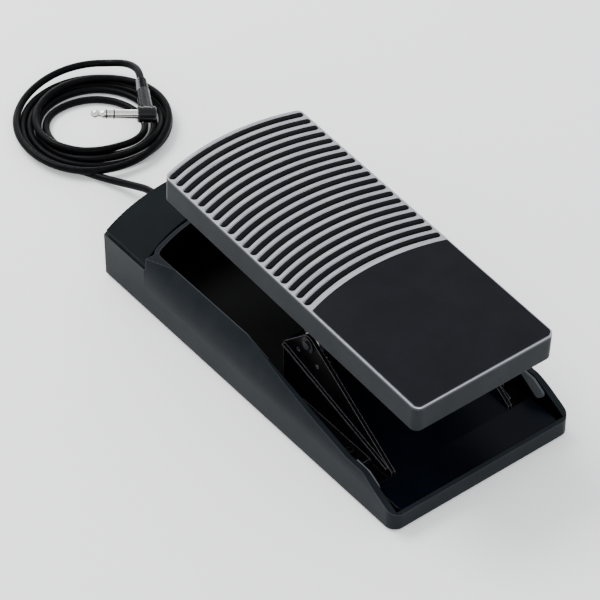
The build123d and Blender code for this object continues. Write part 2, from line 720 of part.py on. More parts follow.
with BuildPart() as gear_sector:
    with BuildSketch(pivot_yz(-SECTOR_HALF_T)):
        root_r = SECTOR_PITCH_R - DEDENDUM
        half_span = 2 * pi / SECTOR_TEETH * (SECTOR_SIDE_TEETH + 0.1)
        with BuildLine():
            left = (-root_r * sin(half_span), -root_r * cos(half_span))
            right = (root_r * sin(half_span), -root_r * cos(half_span))
            Polyline(right, (8.0, 4.0), (-8.0, 4.0), left)
            ThreePointArc(left, (0, -root_r), right)
        make_face()
        for index in range(-SECTOR_SIDE_TEETH, SECTOR_SIDE_TEETH):
            middle = -pi / 2 + (index + 0.5) * 2 * pi / SECTOR_TEETH
            Polygon(*tooth_points(SECTOR_TEETH, middle), align=None)
        Circle(SHAFT_R + 0.6, mode=Mode.SUBTRACT)
        with Locations((0, -16.0)):
            Circle(4.5, mode=Mode.SUBTRACT)
    extrude(amount=2 * SECTOR_HALF_T)
    with BuildSketch(side_plane(-SECTOR_HALF_T)):
        with BuildLine():
            head = ((-13.0, SHELL_V), (13.0, SHELL_V), (7.9, 4.2))
            Polyline((-7.9, 4.2), *head, (3.6, 3.2), (-3.6, 3.2), close=True)
        make_face()
        Circle(SHAFT_R + 0.6, mode=Mode.SUBTRACT)
    extrude(amount=2 * SECTOR_HALF_T)
    with BuildSketch(TREAD.offset(SHELL_V)):
        Rectangle(13.0, 30.0)
    extrude(amount=-2.2)
    with BuildSketch(TREAD.offset(SHELL_V)):
        with Locations(*SECTOR_SCREWS):
            Circle(1.5)
    extrude(amount=-2.2, mode=Mode.SUBTRACT)
    with BuildSketch(TREAD.offset(SHELL_V - 2.2)):
        with Locations(*SECTOR_SCREWS):
            Circle(3.0)
    extrude(amount=-3.5, mode=Mode.SUBTRACT)
save(gear_sector, "gear_sector")

with BuildPart() as sector_screws:
    for x, u in SECTOR_SCREWS:
        seat_at = TREAD.offset(SHELL_V - 2.2).from_local_coords((x, u, 0))
        seat = Plane(origin=seat_at, x_dir=(1, 0, 0), z_dir=tuple(-n for n in TREAD_N))
        add(screw(seat, 2.6, 1.6, 1.25, 3.0))
save(sector_screws, "sector_screws")

with BuildPart() as pinion_gear:
    with BuildSketch(Plane(origin=(-3.0, *PINION_AT), x_dir=(0, 1, 0), z_dir=(1, 0, 0))):
        Circle(PINION_PITCH_R - DEDENDUM)
        for index in range(PINION_TEETH):
            Polygon(*tooth_points(PINION_TEETH, pi / 2 + index * 2 * pi / PINION_TEETH), align=None)
        Circle(2.0, mode=Mode.SUBTRACT)
    extrude(amount=6.0)
save(pinion_gear, "pinion_gear")

BRACKET_X = 7.0
BRACKET_T = 2.0
POT_R = 8.5
POT_X = BRACKET_X + BRACKET_T + 0.5
POT_L = 8.0
BUSHING_R = 3.6

with BuildPart() as pot_shaft:
    with BuildSketch(side_yz(-3.4)):
        with Locations(PINION_AT):
            Circle(2.0)
    extrude(amount=POT_X + 5.0 + 3.4)
save(pot_shaft, "pot_shaft")

with BuildPart() as pot_body:
    with BuildSketch(side_yz(POT_X)):
        with Locations(PINION_AT):
            Circle(POT_R)
    extrude(amount=POT_L)
    fillet(pot_body.edges().group_by(Axis.X)[-1], 0.6)
    with BuildSketch(side_yz(4.6)):
        with Locations(PINION_AT):
            Circle(BUSHING_R)
    extrude(amount=POT_X - 4.6)
    with BuildSketch(side_yz(4.6)):
        with Locations(PINION_AT):
            Circle(2.0 + RUN)
    extrude(amount=POT_X - 4.6 + 5.2, mode=Mode.SUBTRACT)
save(pot_body, "pot_body")

with BuildPart() as pot_nut:
    with BuildSketch(side_yz(BRACKET_X - 2.0)):
        with Locations(PINION_AT):
            RegularPolygon(5.8, 6)
            Circle(BUSHING_R, mode=Mode.SUBTRACT)
    extrude(amount=2.0)
save(pot_nut, "pot_nut")

with BuildPart() as pot_bracket:
    with BuildSketch(side_yz(BRACKET_X)):
        with Locations((PIVOT[1], FLOOR_Z + 9.6)):
            Rectangle(26.0, 19.2)
        with Locations(PINION_AT):
            Circle(BUSHING_R, mode=Mode.SUBTRACT)
    extrude(amount=BRACKET_T)
    with BuildSketch(Plane.XY.offset(FLOOR_Z)):
        with Locations((BRACKET_X + 6.0, PIVOT[1])):
            Rectangle(12.0, 38.0)
        with Locations((WIRE_X[1], WIRE_START)):
            Rectangle(8.0, 12.0, mode=Mode.SUBTRACT)
        with Locations(*POT_SCREWS):
            Circle(CLEAR_R, mode=Mode.SUBTRACT)
    extrude(amount=2.0)
save(pot_bracket, "pot_bracket")

with BuildPart() as pot_screws:
    for spot in POT_SCREWS:
        seat = Plane(origin=(spot[0], spot[1], FLOOR_Z + 2.0), x_dir=(1, 0, 0), z_dir=(0, 0, 1))
        add(screw(seat, 2.6, 1.6, SCREW_R, 5.0))
save(pot_screws, "pot_screws")

with BuildPart() as pot_terminals:
    with BuildSketch(Plane.XY.offset(10.6)):
        with Locations(*[(POT_X + POT_L + 0.4, PIVOT[1] + step * 3.0) for step in (-1, 0, 1)]):
            Rectangle(0.8, 1.6)
    extrude(amount=7.0)
save(pot_terminals, "pot_terminals")

with BuildPart() as signal_wires:
    for step, x in enumerate(WIRE_X):
        y = WIRE_START + (step - 1) * 1.4
        with BuildLine() as route:
            FilletPolyline(
                (x, y, 9.6),
                (x, y, 4.4),
                (x, WIRE_END + (step - 1) * 1.4, 4.4),
                (x, WIRE_END + (step - 1) * 1.4, 13.0),
                radius=0.9,
            )
        path = route.wires()[0]
        with BuildSketch(Plane(origin=path @ 0, z_dir=path % 0)):
            Circle(WIRE_R)
        sweep(path=path)
save(signal_wires, "signal_wires")

# ---- cable gland and clamp ----------------------------------------------------------------
GLAND_TIP = TOE + 9.5
WALL_IN = TOE - 4.5

with BuildPart() as cable_gland:
    with BuildSketch(Plane.XZ.offset(-WALL_IN)):
        with Locations((EXIT_X, EXIT_Z)):
            Circle(GLAND_NECK_R)
    extrude(amount=-(TOE + 0.05 - WALL_IN))
    with BuildSketch(Plane.XZ.offset(-TOE - 0.05)):
        with Locations((EXIT_X, EXIT_Z)):
            Circle(6.6)
    extrude(amount=-1.6)
    with BuildSketch(Plane.XZ.offset(-TOE - 1.65)):
        with Locations((EXIT_X, EXIT_Z)):
            Circle(4.8)
    extrude(amount=-(GLAND_TIP - TOE - 1.65), taper=6.0)
    for ring in range(2):
        with BuildSketch(Plane.XZ.offset(-TOE - 4.0 - 2.6 * ring)):
            with Locations((EXIT_X, EXIT_Z)):
                Circle(6.0)
                Circle(3.5, mode=Mode.SUBTRACT)
        extrude(amount=-0.9, mode=Mode.SUBTRACT)
    with BuildSketch(Plane.XZ.offset(-WALL_IN + 1)):
        with Locations((EXIT_X, EXIT_Z)):
            Circle(CORD_D / 2)
    extrude(amount=-(GLAND_TIP - WALL_IN + 2), mode=Mode.SUBTRACT)
save(cable_gland, "cable_gland")

CLAMP_Y = HEEL + 281.0
with BuildPart() as cable_clamp:
    with BuildSketch(Plane.XZ.offset(-CLAMP_Y - 4.0)):
        with Locations((EXIT_X, FLOOR_Z + 6.4)):
            Rectangle(20.0, 12.8)
        with Locations((EXIT_X, EXIT_Z)):
            Circle(CORD_D / 2, mode=Mode.SUBTRACT)
    extrude(amount=8.0)
    fillet(cable_clamp.edges().filter_by(Axis.Y).group_by(Axis.Z)[-1], 2.0)
save(cable_clamp, "cable_clamp")

# ---- cable --------------------------------------------------------------------------------
COIL_AT = (12.0, HEEL + 410.0)
COIL_OUT = (53.0, 57.0)     # half axes of the coil's outside, along and across COIL_TURN
COIL_IN = (31.0, 22.0)
COIL_TURN = -40.0
COIL_H = 11.0
COIL_SHIFT = (-4.0, -5.0)   # the opening sits off centre, toward the pedal

LEAD = [
    (EXIT_X, TOE, EXIT_Z),
    (EXIT_X, TOE + 17.5, EXIT_Z),
    (EXIT_X - 2.5, TOE + 34.5, EXIT_Z - 6.0),
    (EXIT_X - 6.5, TOE + 50.0, 5.0),
    (EXIT_X - 12.0, TOE + 64.0, 3.2),
]


def run_lengths(points):
    return [hypot(*(b[i] - a[i] for i in range(3))) for a, b in zip(points, points[1:])]


def bend_radii(points):
    """The arc at each inner point: 0.45 of its shorter run over the tangent of half the turn."""
    runs = run_lengths(points)
    radii = []
    for index in range(1, len(points) - 1):
        before = [(points[index][i] - points[index - 1][i]) / runs[index - 1] for i in range(3)]
        after = [(points[index + 1][i] - points[index][i]) / runs[index] for i in range(3)]
        dot = sum(before[i] * after[i] for i in range(3))
        half_turn = atan2((1 - dot) ** 0.5, (1 + dot) ** 0.5)
        radii.append(0.45 * min(runs[index - 1], runs[index]) / tan(half_turn))
    return radii


def cord_tube(points):
    radii = bend_radii(points)
    with BuildPart(mode=Mode.PRIVATE) as tube:
        with BuildLine() as route:
            FilletPolyline(*points, radius=radii)
        path = route.wires()[0]
        with BuildSketch(Plane(origin=path @ 0, z_dir=path % 0)):
            Circle(CORD_D / 2)
        sweep(path=path)
    volume = pi * CORD_D**2 / 4 * path.length
    print("runs", [round(r, 1) for r in run_lengths(points)], "radii", [round(r, 1) for r in radii])
    print("length", round(path.length, 1), "volume ratio", round(tube.part.volume / volume, 4))
    return tube.part


with BuildPart() as cord_inner:
    with BuildSketch(Plane.XZ.offset(-CLAMP_Y)):
        with Locations((EXIT_X, EXIT_Z)):
            Circle(CORD_D / 2)
    extrude(amount=-(TOE - CLAMP_Y))
save(cord_inner, "cord_inner")

with BuildPart() as cord_lead:
    add(cord_tube(LEAD))
save(cord_lead, "cord_lead")

with BuildPart() as cord_coil:
    with BuildSketch(Plane(origin=(COIL_AT[0], COIL_AT[1], 0.2), x_dir=(1, 0, 0), z_dir=(0, 0, 1))):
        Ellipse(*COIL_OUT, rotation=COIL_TURN)
        with Locations(COIL_SHIFT):
            Ellipse(*COIL_IN, rotation=COIL_TURN, mode=Mode.SUBTRACT)
    extrude(amount=COIL_H)
    fillet(cord_coil.edges().group_by(Axis.Z)[-1], 4.0)
save(cord_coil, "cord_coil")

# ---- plug ---------------------------------------------------------------------------------
PLUG_AT = (27.4, HEEL + 383.0, 18.9)        # where the metal shank leaves the moulding
ARM_TURN = radians(60.5)                    # the cable arm's heading, from +X
TIP_RISE = radians(7.6)
ARM_DIR = (cos(ARM_TURN), sin(ARM_TURN), 0.0)
PLUG_DIR = (-sin(ARM_TURN) * cos(TIP_RISE), cos(ARM_TURN) * cos(TIP_RISE), sin(TIP_RISE))
HEAD_L = 12.3
HEAD_R = 5.6
ARM_L = 24.0
RELIEF_L = 12.0
HEAD_MID = tuple(PLUG_AT[i] - PLUG_DIR[i] * HEAD_L * 0.52 for i in range(3))


def along(start, direction, distance):
    return tuple(start[i] + direction[i] * distance for i in range(3))


def plug_plane(distance):
    """Plane across the plug's shank, facing its tip."""
    return Plane(origin=along(PLUG_AT, PLUG_DIR, distance), z_dir=PLUG_DIR)


def arm_plane(distance):
    """Plane across the plug's cable arm, facing away from the head."""
    return Plane(origin=along(HEAD_MID, ARM_DIR, distance), z_dir=ARM_DIR)


with BuildPart() as plug_body:
    with BuildSketch(plug_plane(-HEAD_L)):
        Circle(HEAD_R)
    extrude(amount=HEAD_L)
    chamfer(plug_body.edges().filter_by(GeomType.CIRCLE), 0.8)
    with BuildSketch(arm_plane(0)):
        Circle(5.0)
    with BuildSketch(arm_plane(ARM_L)):
        Circle(4.4)
    loft()
    for ring in (2.6, 8.6):
        with BuildSketch(plug_plane(-ring - 1.0)):
            Circle(HEAD_R + 1)
            Circle(HEAD_R - 0.5, mode=Mode.SUBTRACT)
        extrude(amount=1.0, mode=Mode.SUBTRACT)
save(plug_body, "plug_body")

with BuildPart() as plug_relief:
    with BuildSketch(arm_plane(ARM_L)):
        Circle(4.2)
    extrude(amount=RELIEF_L, taper=3.0)
    for ring in range(4):
        with BuildSketch(arm_plane(ARM_L + 1.6 + 2.6 * ring)):
            Circle(6.0)
            Circle(2.9, mode=Mode.SUBTRACT)
        extrude(amount=1.0, mode=Mode.SUBTRACT)
save(plug_relief, "plug_relief")

SLEEVE_L = 15.2
RING_L = 4.2
INSULATOR_L = 0.9
TIP_L = 9.7
TIP_FLANGE = 1.6            # the flange is the last of the shank's full diameter
WAIST_R = 2.1
BULB_R = 3.0
BULB_END = 6.8
RING_AT = SLEEVE_L + INSULATOR_L
TIP_AT = RING_AT + RING_L + INSULATOR_L

with BuildPart() as plug_sleeve:
    with BuildSketch(plug_plane(0)):
        Circle(PLUG_D / 2)
    extrude(amount=SLEEVE_L)
save(plug_sleeve, "plug_sleeve")

with BuildPart() as plug_ring:
    with BuildSketch(plug_plane(RING_AT)):
        Circle(PLUG_D / 2)
    extrude(amount=RING_L)
save(plug_ring, "plug_ring")

with BuildPart() as plug_insulators:
    for start in (SLEEVE_L, RING_AT + RING_L):
        with BuildSketch(plug_plane(start)):
            Circle(PLUG_D / 2)
        extrude(amount=INSULATOR_L)
save(plug_insulators, "plug_insulators")

tip_side = Plane(origin=along(PLUG_AT, PLUG_DIR, TIP_AT), x_dir=PLUG_DIR, z_dir=ARM_DIR)
with BuildPart() as plug_tip:
    with BuildSketch(tip_side):
        with BuildLine():
            flange = ((0, 0), (0, PLUG_D / 2), (TIP_FLANGE, PLUG_D / 2))
            Polyline(*flange, (3.4, WAIST_R), (4.4, WAIST_R), (6.2, BULB_R), (BULB_END, BULB_R))
            Spline((BULB_END, BULB_R), (8.8, 1.9), (TIP_L, 0), tangents=[(1, -0.2), (0, -1)])
            Line((TIP_L, 0), (0, 0))
        make_face()
    revolve(axis=Axis(along(PLUG_AT, PLUG_DIR, TIP_AT), PLUG_DIR))
save(plug_tip, "plug_tip")

TAIL_START = along(HEAD_MID, ARM_DIR, ARM_L + RELIEF_L)
TAIL = [
    TAIL_START,
    along(TAIL_START, ARM_DIR, 8.0),
    (57.1, HEEL + 426.1, 16.8),
    (57.4, HEEL + 434.4, 14.6),
    (55.4, HEEL + 442.4, 11.9),
    (51.2, HEEL + 449.6, 9.2),
]
with BuildPart() as cord_tail:
    add(cord_tube(TAIL))
save(cord_tail, "cord_tail")
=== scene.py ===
"""Looks for the treadle expression pedal: camera, cable, materials, light and floor.

Everything is in metres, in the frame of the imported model: +X right, +Y heel to toe, +Z up.
"""

import math

import bmesh
import bpy
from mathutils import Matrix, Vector


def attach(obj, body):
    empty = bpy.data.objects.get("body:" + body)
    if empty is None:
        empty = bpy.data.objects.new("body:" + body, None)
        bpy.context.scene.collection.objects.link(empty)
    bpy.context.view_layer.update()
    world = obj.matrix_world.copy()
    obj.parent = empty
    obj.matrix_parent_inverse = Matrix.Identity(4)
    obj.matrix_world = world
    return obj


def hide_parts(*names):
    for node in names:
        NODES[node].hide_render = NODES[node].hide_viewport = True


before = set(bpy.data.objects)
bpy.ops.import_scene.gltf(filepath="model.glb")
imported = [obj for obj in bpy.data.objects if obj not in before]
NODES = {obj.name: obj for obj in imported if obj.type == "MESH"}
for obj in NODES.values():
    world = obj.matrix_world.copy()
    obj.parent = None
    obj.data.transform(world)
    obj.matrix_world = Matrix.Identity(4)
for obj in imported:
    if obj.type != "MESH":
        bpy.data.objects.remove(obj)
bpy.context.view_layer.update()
MM = 0.001


# ---- camera -------------------------------------------------------------------------------
CAMERA_AT = Vector((-0.8426, -1.0568, 1.2693))
CAMERA_LOOKS_AT = Vector((-0.0207, -0.0027, 0.0501))
LENS = 181.45


def make_camera():
    data = bpy.data.cameras.new("camera")
    data.lens = LENS
    data.sensor_width = 36.0
    camera = bpy.data.objects.new("camera", data)
    camera.location = CAMERA_AT
    camera.rotation_euler = (CAMERA_LOOKS_AT - CAMERA_AT).to_track_quat("-Z", "Y").to_euler()
    bpy.context.scene.collection.objects.link(camera)
    bpy.context.scene.camera = camera


make_camera()


# ---- cable --------------------------------------------------------------------------------
CORD_D = 0.005
FLOOR_CLEAR = CORD_D / 2 + 0.0002
HEEL = -0.150
TOE = 0.150
EXIT = (-0.008, TOE, 0.0155)
COIL_AT = Vector((0.012, HEEL + 0.410))
PLUG_AT = Vector((0.0274, HEEL + 0.383, 0.0189))
ARM_TURN = math.radians(60.5)
TIP_RISE = math.radians(7.6)
HEAD_L = 0.0123
ARM_AND_RELIEF = 0.036

ARM_DIR = Vector((math.cos(ARM_TURN), math.sin(ARM_TURN), 0.0))
PLUG_DIR = Vector(
    (
        -math.sin(ARM_TURN) * math.cos(TIP_RISE),
        math.cos(ARM_TURN) * math.cos(TIP_RISE),
        math.sin(TIP_RISE),
    )
)
TAIL_START = PLUG_AT - PLUG_DIR * HEAD_L * 0.52 + ARM_DIR * ARM_AND_RELIEF

LEAD = [
    EXIT,
    (-0.008, TOE + 0.0175, 0.0155),
    (-0.0105, TOE + 0.0345, 0.0095),
    (-0.0145, TOE + 0.050, 0.005),
    (-0.020, TOE + 0.064, 0.0032),
]
TAIL = [
    TAIL_START,
    TAIL_START + ARM_DIR * 0.008,
    (0.0571, HEEL + 0.4261, 0.0168),
    (0.0574, HEEL + 0.4344, 0.0146),
    (0.0554, HEEL + 0.4424, 0.0119),
    (0.0512, HEEL + 0.4496, 0.0092),
]

# The coil's shape as it winds clockwise from the lead to the tail. Each row is a number of
# turns, the half axes along and across COIL_TURN, and the middle's shift, in mm.
COIL_TURN = math.radians(-40.0)
COIL_START = math.radians(-137.0)
COIL_END = math.radians(46.0)
TURNS = [
    (0.0, 50.0, 51.5, 2.0, -1.0),
    (0.8, 45.5, 45.0, 1.0, -1.5),
    (1.6, 47.0, 37.5, 1.5, -4.5),
    (2.4, 37.5, 40.0, -3.0, -2.5),
    (3.1, 41.0, 28.5, -0.5, -6.0),
    (3.8, 34.0, 25.5, -4.0, -5.5),
    (4.4, 43.0, 42.0, -1.0, -3.5),
    (4.9, 49.5, 55.5, -0.5, 0.5),
    (5.6, 49.5, 55.5, -0.5, 0.5),
]
WHOLE_TURNS = 5
STATIONS = 36                       # route points to a full turn
SETTLE_STEPS = 260
STRAND_GAP = 1.02                   # strands lie this many diameters apart
FIRST_RISE = 1.3                    # mm that each turn starts above the one before
PULL = 0.08                         # share of the way back to its own line, each step
SINK = 0.05                         # mm that a strand sinks, each step
SMOOTHING = 0.18                    # share of the way to the middle of its neighbours
END_RISE = 15                       # stations over which the end climbs toward the plug


def eased(share):
    """A share from 0 to 1 that starts and stops gently."""
    return share * share * (3 - 2 * share)


def turn_shape(turn):
    """Half axes and shift part way between two rows of TURNS."""
    for before, after in zip(TURNS, TURNS[1:]):
        if turn <= after[0]:
            break
    share = eased((turn - before[0]) / (after[0] - before[0]))
    return [a + (b - a) * share for a, b in zip(before[1:], after[1:])]


def coil_point(angle, turn):
    """Where the coil's line wants to be, as an offset from COIL_AT, in mm."""
    along, across, shift_x, shift_y = turn_shape(turn)
    local = angle - COIL_TURN
    x = along * math.cos(local)
    y = across * math.sin(local)
    turned_x = x * math.cos(COIL_TURN) - y * math.sin(COIL_TURN)
    turned_y = x * math.sin(COIL_TURN) + y * math.cos(COIL_TURN)
    return turned_x + shift_x, turned_y + shift_y


def push_apart(a, b, gap):
    """Moves two strands' crossings of one station apart, in the plane across the cable."""
    d_radius = b[0] - a[0]
    d_height = b[1] - a[1]
    apart = math.hypot(d_radius, d_height)
    if apart >= gap:
        return
    if apart < 1e-6:
        d_height = 1e-6
        apart = 1e-6
    push = (gap - apart) / 2
    a[0] -= push * d_radius / apart
    a[1] -= push * d_height / apart
    b[0] += push * d_radius / apart
    b[1] += push * d_height / apart


def settled_coil():
    """The coil's route: turns laid one on another, kept a diameter apart and on the floor."""
    step = 2 * math.pi / STATIONS
    sweep = (COIL_START - COIL_END) % (2 * math.pi) + 2 * math.pi * WHOLE_TURNS
    count = round(sweep / step)
    gap = CORD_D / MM * STRAND_GAP
    floor = FLOOR_CLEAR / MM
    angles = []
    wanted = []
    for index in range(count + 1):
        angle = COIL_START - sweep * index / count
        x, y = coil_point(angle, index / STATIONS)
        angles.append(math.atan2(y, x))
        wanted.append(math.hypot(x, y))
    # state: distance from the middle, and height, of each crossing of a station
    state = [
        [radius, floor + FIRST_RISE * index / STATIONS] for index, radius in enumerate(wanted)
    ]
    for _ in range(SETTLE_STEPS):
        for index, point in enumerate(state):
            point[0] += (wanted[index] - point[0]) * PULL
            point[1] = max(floor, point[1] - SINK)
        for offset in (1, 2):
            for index in range(offset, len(state) - offset):
                before, here, after = state[index - offset], state[index], state[index + offset]
                for axis in (0, 1):
                    middle = (before[axis] + after[axis]) / 2
                    here[axis] += (middle - here[axis]) * SMOOTHING
        for index in range(len(state)):
            for other in range(index + STATIONS, len(state), STATIONS):
                for near in (other - 1, other, other + 1):
                    if near < len(state):
                        push_apart(state[index], state[near], gap)
        for point in state:
            point[1] = max(floor, point[1])
    top = TAIL[-1][2] / MM
    for back in range(END_RISE):
        end = state[-1 - back]
        end[1] = max(end[1], floor + (top - floor) * eased(1 - back / END_RISE))
    points = []
    for angle, (radius, height) in zip(angles, state):
        points.append(
            (
                COIL_AT.x + MM * radius * math.cos(angle),
                COIL_AT.y + MM * radius * math.sin(angle),
                MM * height,
            )
        )
    return points


def make_cable():
    """One open spline from the gland, round the coil and up into the plug's strain relief."""
    points = [*LEAD, *settled_coil(), *reversed(TAIL[:-1])]
    data = bpy.data.curves.new("cable", "CURVE")
    data.dimensions = "3D"
    spline = data.splines.new("NURBS")
    spline.points.add(len(points) - 1)
    for slot, point in zip(spline.points, points):
        slot.co = (*point, 1.0)
        slot.radius = CORD_D / 2
    spline.order_u = 3
    spline.use_endpoint_u = True
    data.resolution_u = 6
    data.bevel_depth = 1.0              # times each point's radius
    data.bevel_resolution = 5
    data.use_fill_caps = True
    cable = bpy.data.objects.new("cable", data)
    bpy.context.scene.collection.objects.link(cable)
    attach(cable, "base")
    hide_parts("cord_lead", "cord_coil", "cord_tail")
    return cable


cable = make_cable()


# ---- material helpers ---------------------------------------------------------------------
class Surface:
    """A node material with a principled shader, built up a layer at a time."""

    def __init__(self, name, rough, metallic=0.0, **sockets):
        self.material = bpy.data.materials.new(name)
        self.material.use_nodes = True
        self.tree = self.material.node_tree
        self.shader = self.tree.nodes["Principled BSDF"]
        self.shader.inputs["Metallic"].default_value = metallic
        self.shader.inputs["Roughness"].default_value = rough
        for socket, value in sockets.items():
            self.shader.inputs[socket.replace("_", " ")].default_value = value
        self.place = self.tree.nodes.new("ShaderNodeTexCoord").outputs["Object"]
        self.normal = None

    def link(self, source, target):
        self.tree.links.new(source, target)

    def node(self, kind, **settings):
        made = self.tree.nodes.new(kind)
        for key, value in settings.items():
            setattr(made, key, value)
        return made

    def stretched(self, scale, turn=(0.0, 0.0, 0.0)):
        mapping = self.node("ShaderNodeMapping")
        mapping.inputs["Scale"].default_value = scale
        mapping.inputs["Rotation"].default_value = turn
        self.link(self.place, mapping.inputs["Vector"])
        return mapping.outputs["Vector"]

    def noise(self, scale, detail=3.0, rough=0.5, place=None):
        made = self.node("ShaderNodeTexNoise")
        made.inputs["Scale"].default_value = scale
        made.inputs["Detail"].default_value = detail
        made.inputs["Roughness"].default_value = rough
        self.link(place or self.place, made.inputs["Vector"])
        return made.outputs["Fac"]

    def cells(self, scale, place=None):
        made = self.node("ShaderNodeTexVoronoi")
        made.inputs["Scale"].default_value = scale
        self.link(place or self.place, made.inputs["Vector"])
        return made.outputs["Distance"]

    def ranged(self, value, low, high, start=0.0, end=1.0):
        made = self.node("ShaderNodeMapRange")
        made.inputs["From Min"].default_value = start
        made.inputs["From Max"].default_value = end
        made.inputs["To Min"].default_value = low
        made.inputs["To Max"].default_value = high
        self.link(value, made.inputs["Value"])
        return made.outputs["Result"]

    def math(self, operation, first, second=None):
        made = self.node("ShaderNodeMath", operation=operation)
        for socket, value in zip(made.inputs, (first, second)):
            if isinstance(value, float):
                socket.default_value = value
            elif value is not None:
                self.link(value, socket)
        return made.outputs["Value"]

    def blend(self, factor, first, second):
        """A colour between two, each either an rgb triple or another node's output."""
        made = self.node("ShaderNodeMix", data_type="RGBA")
        self.link(factor, made.inputs["Factor"])
        for socket, colour in ((made.inputs[6], first), (made.inputs[7], second)):
            if isinstance(colour, tuple):
                socket.default_value = (*colour, 1.0)
            else:
                self.link(colour, socket)
        return made.outputs[2]

    def edges(self, radius, low=0.02, high=0.25):
        """Nearer 1 where the surface turns a corner, found from the bevelled normal."""
        bevel = self.node("ShaderNodeBevel", samples=6)
        bevel.inputs["Radius"].default_value = radius
        flat = self.node("ShaderNodeNewGeometry").outputs["Normal"]
        dot = self.node("ShaderNodeVectorMath", operation="DOT_PRODUCT")
        self.link(bevel.outputs["Normal"], dot.inputs[0])
        self.link(flat, dot.inputs[1])
        return self.ranged(dot.outputs["Value"], 1.0, 0.0, 1.0 - high, 1.0 - low)

    def facing(self, direction):
        """How squarely the surface faces a direction, in the object's own frame."""
        made = self.node("ShaderNodeVectorMath", operation="DOT_PRODUCT")
        self.link(self.node("ShaderNodeTexCoord").outputs["Normal"], made.inputs[0])
        made.inputs[1].default_value = direction
        return made.outputs["Value"]

    def colour(self, source):
        self.link(source, self.shader.inputs["Base Color"])

    def colour_now(self):
        return self.shader.inputs["Base Color"].links[0].from_socket

    def roughness(self, source):
        self.link(source, self.shader.inputs["Roughness"])

    def bump(self, height, distance, strength=1.0):
        made = self.node("ShaderNodeBump")
        made.inputs["Distance"].default_value = distance
        made.inputs["Strength"].default_value = strength
        self.link(height, made.inputs["Height"])
        if self.normal is not None:
            self.link(self.normal, made.inputs["Normal"])
        self.normal = made.outputs["Normal"]
        self.link(self.normal, self.shader.inputs["Normal"])


def moulded(name, dark, light, rough, grain=0.00003, grain_scale=2600.0, wear_and_highlight=(0.10, 0.105, 0.115),
            edge_radius=0.0008, **sockets):
    """Moulded plastic: fine spark-eroded grain, faint handling marks and lighter corners, part
    wear and part painted edge highlight.
    """
    made = Surface(name, rough, **sockets)
    marks = made.noise(38.0, 5.0, 0.62)
    body = made.blend(made.ranged(marks, 0.0, 1.0, 0.35, 0.65), dark, light)
    # Lighter corners from the bevelled normal: part wear, part painted edge highlight.
    made.colour(made.blend(made.ranged(made.edges(edge_radius), 0.0, 0.55), body, wear_and_highlight))
    smear = made.noise(14.0, 4.0, 0.6, made.stretched((1.0, 0.35, 1.0)))
    made.roughness(made.ranged(smear, rough - 0.05, rough + 0.07, 0.3, 0.7))
    made.bump(made.noise(grain_scale, 2.0, 0.6), grain)
    made.bump(made.noise(420.0, 2.0, 0.5), grain * 1.2, 0.5)
    return made


def metal(name, dark, light, rough, brushed=(1.0, 1.0, 40.0), scratch=0.000012):
    """Bare or plated metal with fine directional marks."""
    made = Surface(name, rough, metallic=1.0)
    lines = made.noise(900.0, 3.0, 0.6, made.stretched(brushed))
    made.colour(made.blend(made.ranged(lines, 0.0, 1.0, 0.3, 0.7), dark, light))
    tarnish = made.noise(60.0, 4.0, 0.6)
    made.roughness(made.ranged(tarnish, rough * 0.75, rough * 1.35, 0.3, 0.7))
    made.bump(lines, scratch)
    return made


def soft_rubber(name, dark, light, rough, **sockets):
    """Soft moulded rubber with a fine matt bloom and dust."""
    made = Surface(name, rough, **sockets)
    bloom = made.noise(160.0, 5.0, 0.65)
    made.colour(made.blend(made.ranged(bloom, 0.0, 1.0, 0.35, 0.7), dark, light))
    made.roughness(made.ranged(made.noise(45.0, 3.0), rough - 0.06, rough + 0.08, 0.3, 0.7))
    made.bump(made.noise(1900.0, 3.0, 0.6), 0.00002)
    return made


# ---- materials ----------------------------------------------------------------------------
# The inside of the housing's well, painted a deeper black than the outside as painted shade.
WELL_HEEL_HALF_W = 0.0638
WELL_HALF_W = 0.0586
WELL_NARROWS = (-0.108, 0.0)
WELL_LIMITS = [
    ("Z", "LESS_THAN", 0.0385),
    ("Z", "GREATER_THAN", 0.007),
    ("Y", "LESS_THAN", 0.108),
    ("Y", "GREATER_THAN", -0.1478),
]
TREADLE_UP = (0.0, -0.0558, 0.9984)     # square to the treadle's top
TREADLE_AHEAD = (0.0, 0.9984, 0.0558)   # along the treadle, to the toe
PLATE_EDGE_HIGHLIGHT = (0.80, 0.81, 0.84)
# Colour of the painted highlight along the toe side of each rib.
RIB_HIGHLIGHT = (0.30, 0.31, 0.34)


def housing_material():
    """Satin black outside; the inside of the well is darkened to a deeper black as painted shade.
    """
    made = moulded("housing", (0.0070, 0.0092, 0.0112), (0.0095, 0.0122, 0.0146), 0.36,
                   wear_and_highlight=(0.10, 0.11, 0.12), Specular_IOR_Level=0.05)
    painted = made.colour_now()
    split = made.node("ShaderNodeSeparateXYZ")
    made.link(made.place, split.inputs["Vector"])
    reach = made.ranged(split.outputs["Y"], WELL_HEEL_HALF_W, WELL_HALF_W, *WELL_NARROWS)
    side = made.math("ABSOLUTE", split.outputs["X"])
    well_shade = made.math("LESS_THAN", side, reach)
    for axis, test, limit in WELL_LIMITS:
        well_shade = made.math("MULTIPLY", well_shade, made.math(test, split.outputs[axis], limit))
    # Painted shade: the well's inside takes a near-black colour.
    made.colour(made.blend(well_shade, painted, (0.0008, 0.0008, 0.0009)))
    return made


def deck_material():
    made = moulded("deck", (0.0006, 0.0014, 0.0032), (0.0012, 0.0024, 0.0048), 0.24,
                   grain=0.000012, wear_and_highlight=(0.02, 0.022, 0.03), Specular_IOR_Level=0.06)
    scuffs = made.noise(240.0, 6.0, 0.7, made.stretched((1.0, 0.12, 1.0)))
    made.bump(scuffs, 0.00001, 0.4)
    return made


